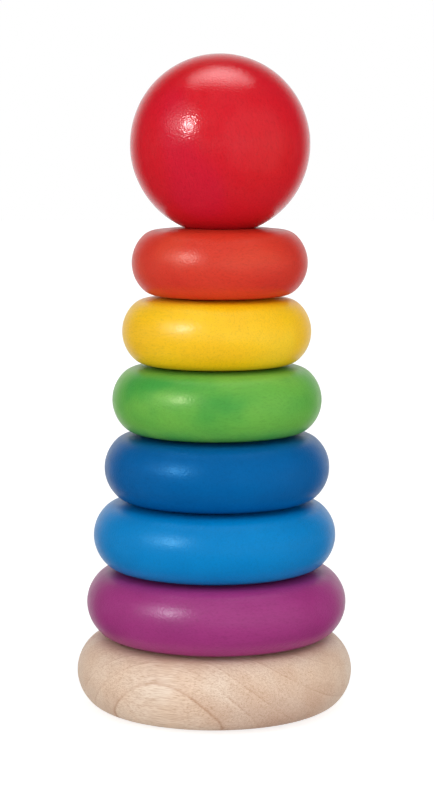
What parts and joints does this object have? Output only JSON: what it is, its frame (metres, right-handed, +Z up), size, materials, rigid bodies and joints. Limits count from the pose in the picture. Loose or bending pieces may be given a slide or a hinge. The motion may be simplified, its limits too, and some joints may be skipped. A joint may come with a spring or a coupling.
{
  "type": "stacking ring toy",
  "caption": "Wooden stacking toy: a round base with an upright post, painted rings that get smaller upwards and drop over the post, and a ball on top.",
  "frame": {"origin": "middle of the base's underside", "axes": "+Z up along the post, towards the ball; the front is -Y, and +X is to the right as seen from there"},
  "size_m": [0.1014, 0.1014, 0.2385],
  "materials": {
    "natural_wood": "clear satin lacquer on pale hardwood",
    "post_wood": "sanded bare hardwood dowel",
    "purple_paint": "semi-gloss purple stain and lacquer",
    "light_blue_paint": "semi-gloss light blue stain and lacquer",
    "dark_blue_paint": "semi-gloss dark blue stain and lacquer",
    "green_paint": "semi-gloss green stain and lacquer",
    "yellow_paint": "semi-gloss yellow stain and lacquer",
    "orange_paint": "semi-gloss orange-red stain and lacquer",
    "red_paint": "semi-gloss red stain and lacquer"
  },
  "bodies": {
    "stand": {"base": "natural_wood", "post": "post_wood"},
    "purple_ring": {"purple_ring": "purple_paint"},
    "light_blue_ring": {"light_blue_ring": "light_blue_paint"},
    "dark_blue_ring": {"dark_blue_ring": "dark_blue_paint"},
    "green_ring": {"green_ring": "green_paint"},
    "yellow_ring": {"yellow_ring": "yellow_paint"},
    "orange_ring": {"orange_ring": "orange_paint"},
    "red_ball": {"red_ball": "red_paint"}
  },
  "joints": [
    {"name": "purple_ring_lift", "type": "slide", "parent": "stand", "child": "purple_ring", "axis": [0, 0, 1], "range_m": [0, 0.185]},
    {"name": "light_blue_ring_lift", "type": "slide", "parent": "purple_ring", "child": "light_blue_ring", "axis": [0, 0, 1], "range_m": [0, 0.16]},
    {"name": "dark_blue_ring_lift", "type": "slide", "parent": "light_blue_ring", "child": "dark_blue_ring", "axis": [0, 0, 1], "range_m": [0, 0.135]},
    {"name": "green_ring_lift", "type": "slide", "parent": "dark_blue_ring", "child": "green_ring", "axis": [0, 0, 1], "range_m": [0, 0.11]},
    {"name": "yellow_ring_lift", "type": "slide", "parent": "green_ring", "child": "yellow_ring", "axis": [0, 0, 1], "range_m": [0, 0.085]},
    {"name": "orange_ring_lift", "type": "slide", "parent": "yellow_ring", "child": "orange_ring", "axis": [0, 0, 1], "range_m": [0, 0.06]},
    {"name": "red_ball_lift", "type": "slide", "parent": "orange_ring", "child": "red_ball", "axis": [0, 0, 1], "range_m": [0, 0.035]}
  ]
}
